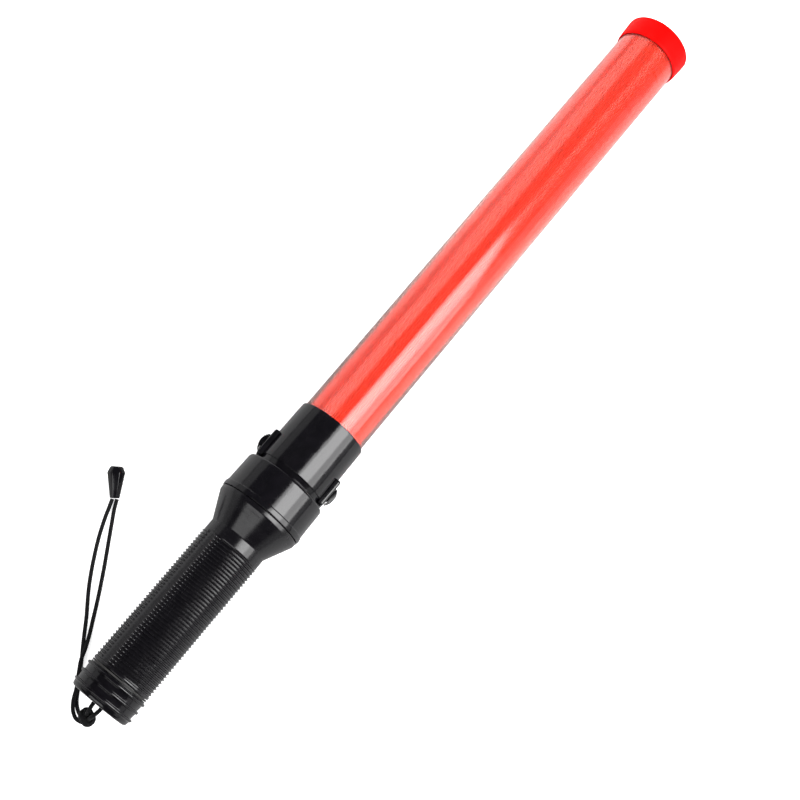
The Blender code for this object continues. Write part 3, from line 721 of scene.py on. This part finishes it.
def handle_body():
    """The handle in one piece. Its ribs stop at a smooth strip on each side, next to two rows of dots."""
    inside = [
        (24.5, 135.4), (24.5, 149.8), (22.4, 149.8), (22.4, 127.6), (19.15, 120.6), (BORE, 116.6),
        (BORE, 18.2),
    ]
    outline = grip_outline() + cone_outline() + inside
    mesh = spun(outline, steps=GRIP_SIDES)
    for vert in mesh.verts:
        radius = math.hypot(vert.co.x, vert.co.y)
        turn = math.degrees(math.atan2(vert.co.y, -vert.co.x)) % 180.0
        on_rib = radius > GRIP_VALLEY + 0.1 and 20.3 < vert.co.z < GRIP_END
        if on_rib and any(low < turn < high for low, high in RIB_GAPS):
            vert.co.xy *= GRIP_VALLEY / radius
        if radius < BORE + 0.1 and vert.co.y > 0.0 and abs(vert.co.x) < 2.3:
            vert.co.xy *= (BORE + STRIP_GROOVE) / radius
    stand_for("handle_body", mesh, SATIN)


def tail_cap():
    """The screw cap: three bead rings with slightly tapered bands between, a rounded end edge and the
    strap's two holes."""
    outer = [(17.1, 16.6), (18.9, 16.6, 0.35)]
    for station in BEADS:
        outer += [
            (18.4, station + 0.95, 0.35), (19.75, station + 0.7, 0.65), (19.75, station - 0.7, 0.65),
            (18.75, station - 0.95, 0.35),
        ]
    outer += [(18.5, 0.0, 2.6)]
    corners = [
        (0.0, 3.0), (11.5, 3.0, 0.4), (11.5, 6.2), (15.6, 6.2), (15.6, 24.6, 0.3), (17.1, 24.6, 0.3),
    ]
    mesh = spun(rounded(corners + outer) + [Vector((0.0, 0.0))], closed=False)
    holes = []
    for side in (-1, 1):
        place = Matrix.Translation((0.0, side * HOLE_OFFSET, 0.0))
        holes.append(pin(1.6, -3.0, 6.0, space=place))
    stand_for("tail_cap", combined(mesh, holes), GLOSS, smooth=30.0)
    seal = rounded([(17.45, 16.9), (18.75, 16.9, 0.3), (18.75, 17.9, 0.3), (17.45, 17.9)])
    stand_for("tail_seal", spun(seal), RUBBER)


def head_ring():
    """The smooth clamping ring, with a crowned lip along its lower edge."""
    corners = [
        (21.9, 159.2, 0.25), (26.35, 159.2, 2.0), (26.7, 139.4, 0.15), (27.2, 139.0, 0.2),
        (27.33, 137.3, 0.8), (27.2, 135.8, 0.3), (24.85, 135.8), (24.85, 156.7), (21.9, 156.7, 0.2),
    ]
    stand_for("head_ring", spun(rounded(corners)), GLOSS, smooth=30.0)


def tube_collar():
    """The collar round the foot of the tube, with a slot for each switch."""
    corners = [
        (21.05, 201.4), (22.2, 201.4, 0.5), (22.55, 163.1, 0.5), (22.0, 163.0), (21.0, 159.4, 0.4),
        (21.0, 156.4), (24.4, 156.4, 0.3), (24.4, 150.2, 0.3), (20.3, 150.2), (20.3, 181.0),
        (17.5, 181.0), (17.5, 182.4), (21.05, 182.4),
    ]
    slots = [block((0.0, side * 21.5, SLOT_MIDDLE), (SLOT_WIDTH, 8.0, SLOT_LENGTH)) for side in (-1, 1)]
    stand_for("tube_collar", combined(spun(rounded(corners)), slots), GLOSS, smooth=30.0)


def light_tube():
    """The clear red tube, the ribbed film in it, and the cap and mirror at the tip."""
    wall = rounded([(20.75, 182.8, 0.2), (20.75, 531.5, 0.2), (19.65, 531.5, 0.2), (19.65, 182.8, 0.2)])
    stand_for("light_tube", spun(wall, steps=160), TUBE_RED)
    sheet = [(18.75, 197.0), (19.3, 197.0), (19.3, 530.6), (18.75, 530.6)]
    mesh = spun(sheet, steps=4 * FILM_RIBS)
    for vert in mesh.verts:
        radius = math.hypot(vert.co.x, vert.co.y)
        if radius > 19.0:
            share = math.atan2(vert.co.y, vert.co.x) / math.tau * FILM_RIBS
            vert.co.xy *= (radius - FILM_DEPTH * abs(2 * (share % 1.0) - 1.0)) / radius
    stand_for("prism_film", mesh, FILM_RED, smooth=20.0)
    cap = [
        (0.0, LENGTH - 0.6), (19.6, LENGTH - 0.6, 0.4), (20.3, LENGTH, 0.4), (22.65, LENGTH, 0.3),
        (22.4, 531.0, 2.0), (22.1, 526.6, 0.6), (21.7, 525.1, 0.25), (21.1, 525.1, 0.2),
        (21.1, 533.2), (18.2, 533.2), (18.2, 537.2), (0.0, 537.2),
    ]
    stand_for("tip_cap", spun(rounded(cap), closed=False), CAP_RED)
    mirror = rounded([(0.0, 532.8), (20.7, 532.8, 0.15), (20.7, 531.9, 0.15), (0.0, 531.9)])
    stand_for("tip_reflector", spun(mirror, closed=False), MIRROR)


# ---------------------------------------------------------------- switches

SWITCH_MIDDLE = 169.55
SWITCH_FOOT = 21.9
SWITCH_TOP = 24.3
THUMB_MIDDLE = 169.1
THUMB_HALF = 5.3
THUMB_RIBS = 9
SCREW_PLACES = ((-7.0, -5.8), (7.0, 5.8))


def thumb_outline():
    """Side view of a thumb piece: an arch whose back is cut into ribs."""
    foot = SWITCH_TOP + 0.3
    rise = 2.2
    arch = (THUMB_HALF ** 2 + rise ** 2) / (2 * rise)
    centre = foot + 0.7 + rise - arch
    spread = math.asin(THUMB_HALF / arch)
    points = [(-THUMB_HALF, foot)]
    for rib in range(THUMB_RIBS):
        for share, depth in (
            (0.06, 0.45), (0.16, 0.2), (0.28, 0.04), (0.5, 0.0), (0.72, 0.04), (0.84, 0.2), (0.94, 0.45)
        ):
            turn = -spread + (rib + share) * 2 * spread / THUMB_RIBS
            points.append(((arch - depth) * math.sin(turn), centre + (arch - depth) * math.cos(turn)))
    return points + [(THUMB_HALF, foot)]


def thumb_piece(node, side):
    """The ribbed slider and its stem."""
    mesh = bmesh.new()
    edge = [mesh.verts.new((-4.8, side * out, THUMB_MIDDLE + along)) for along, out in thumb_outline()]
    face = mesh.faces.new(edge)
    raised = bmesh.ops.extrude_face_region(mesh, geom=[face])["geom"]
    bmesh.ops.translate(
        mesh, vec=(9.6, 0.0, 0.0), verts=[item for item in raised if isinstance(item, bmesh.types.BMVert)]
    )
    bmesh.ops.recalc_face_normals(mesh, faces=mesh.faces)
    rims = [edge for edge in mesh.edges if any(len(face.verts) > 4 for face in edge.link_faces)]
    bmesh.ops.bevel(
        mesh, geom=rims, offset=0.12, offset_type="OFFSET", affect="EDGES", segments=2, profile=0.5,
        material=-1, clamp_overlap=True,
    )
    stem = block((0.0, side * SWITCH_FOOT, THUMB_MIDDLE), (6.0, 6.4, 7.6))
    stand_for(node, combined(mesh, [stem], "UNION"), GLOSS, smooth=30.0)


def screw_space(side, across, along):
    """Where a screw sits in the plate, with its head facing out."""
    place = Matrix.Translation((across, side * (SWITCH_TOP + 0.1), SWITCH_MIDDLE + along))
    return place @ Matrix.Rotation(math.copysign(math.pi / 2, -side), 4, "X")


def plate_screw(node, space):
    """A small cross-head screw, sunk in the plate."""
    mesh = spun(rounded([(0.0, 0.0), (1.2, 0.0), (1.2, 0.7, 0.3), (0.0, 0.7)]), steps=32, closed=False)
    cross = [block((0.0, 0.0, 0.7), size) for size in ((1.5, 0.3, 0.7), (0.3, 1.5, 0.7))]
    stand_for(node, combined(mesh, cross), STEEL, BATON @ space)


def switch(name, side):
    """A thumb switch: its saddle plate, two screws and the slider."""
    size = (18.0, 2 * (SWITCH_TOP - SWITCH_FOOT), 18.1)
    plate = block((0.0, side * SWITCH_FOOT, SWITCH_MIDDLE), size, 1.4, 5)
    slot = block((0.0, side * 23.0, SLOT_MIDDLE), (SLOT_WIDTH, 12.0, SLOT_LENGTH))
    cuts = [pin(22.85, 150.0, 190.0, ROUND), slot]
    for index, (across, along) in enumerate(SCREW_PLACES):
        space = screw_space(side, across, along)
        cuts.append(pin(1.5, -0.3, 2.0, space=space))
        plate_screw(f"{name}_screw_{index + 1}", space)
    stand_for(f"{name}_plate", combined(plate, cuts), GLOSS, smooth=30.0)
    thumb_piece(f"{name}_slider", side)


# ---------------------------------------------------------------- inside


def cell(node, base):
    """A D-size cell, with its jacket turned in at both ends and its contact nub."""
    corners = [
        (0.0, base + 61.5), (4.4, base + 61.5, 0.5), (4.4, base + 59.8), (15.65, base + 59.8, 0.4),
        (16.85, base + 58.6, 0.5), (16.85, base + 1.0, 0.5), (15.85, base, 0.4), (0.0, base),
    ]
    stand_for(node, spun(rounded(corners), steps=96, closed=False), JACKET)


def tail_spring():
    """The wire of the tail spring, closing in towards the cell."""
    turns, per_turn = 5.5, 40
    count = int(turns * per_turn)
    route = []
    for step in range(count + 1):
        share = step / count
        turn = math.tau * turns * share
        radius = 11.5 - 4.0 * share
        route.append(Vector((radius * math.cos(turn), radius * math.sin(turn), 7.9 + 16.7 * share)))
    stand_for("tail_spring", drawn_along(route, 0.6, 12), STEEL)


def diodes():
    """Six round-nosed diodes in a ring."""
    corners = [
        (0.0, 189.6), (2.5, 189.6, 2.4), (2.5, 182.0), (2.9, 182.0, 0.15), (2.9, 181.0), (0.0, 181.0),
    ]
    for index in range(6):
        mesh = spun(rounded(corners), steps=32, closed=False)
        turn = math.tau * index / 6
        place = Matrix.Translation((7.0 * math.cos(turn), 7.0 * math.sin(turn), 0.0))
        stand_for(f"led_{index + 1}", mesh, DIODE, BATON @ place)


def turned_fittings():
    """The round plates, contacts and the bowl inside."""
    plain = (
        ("spring_plate", 6.5, 7.1, 14.8, STEEL), ("front_contact", 149.4, 150.6, 5.0, BRASS),
        ("contact_carrier", 150.9, 152.9, 19.9, SATIN), ("led_board", 179.1, 180.7, 19.8, BOARD),
    )
    for node, bottom, top, radius, finish in plain:
        corners = [(0.0, top), (radius, top, 0.2), (radius, bottom, 0.2), (0.0, bottom)]
        stand_for(node, spun(rounded(corners), steps=96, closed=False), finish)
    bowl = [(10.9, 183.8), (10.9, 182.9), (12.2, 182.9), (12.2, 183.6)]
    curve = [(12.2 + 7.0 * share ** 1.3, 183.6 + 11.8 * share) for share in (0.25, 0.5, 0.75, 1.0)]
    rim = [(19.2, 196.2), (18.3, 196.2)]
    back = [(10.9 + 7.4 * share ** 1.3, 183.8 + 12.4 * share) for share in (0.75, 0.5, 0.25)]
    stand_for("reflector", spun(bowl + curve + rim + back), MIRROR)


def dress(finish, *nodes):
    """Gives nodes that stay as they are their finish."""
    for name in nodes:
        data = frame["nodes"][name].data
        data.materials.clear()
        data.materials.append(finish)


handle_body()
tail_cap()
head_ring()
tube_collar()
light_tube()
switch("power_switch", 1)
switch("mode_switch", -1)
cell("rear_battery", 25.6)
cell("front_battery", 87.4)
tail_spring()
diodes()
turned_fittings()
dress(SATIN, "battery_guide", "driver_chip")
dress(BRASS, "ground_strip")
dress(BOARD, "driver_board")
dress(STEEL, "power_switch_body", "mode_switch_body")
dress(RED_LEAD, "supply_lead", "lamp_supply_lead")
dress(BLACK_LEAD, "return_lead", "lamp_return_lead")
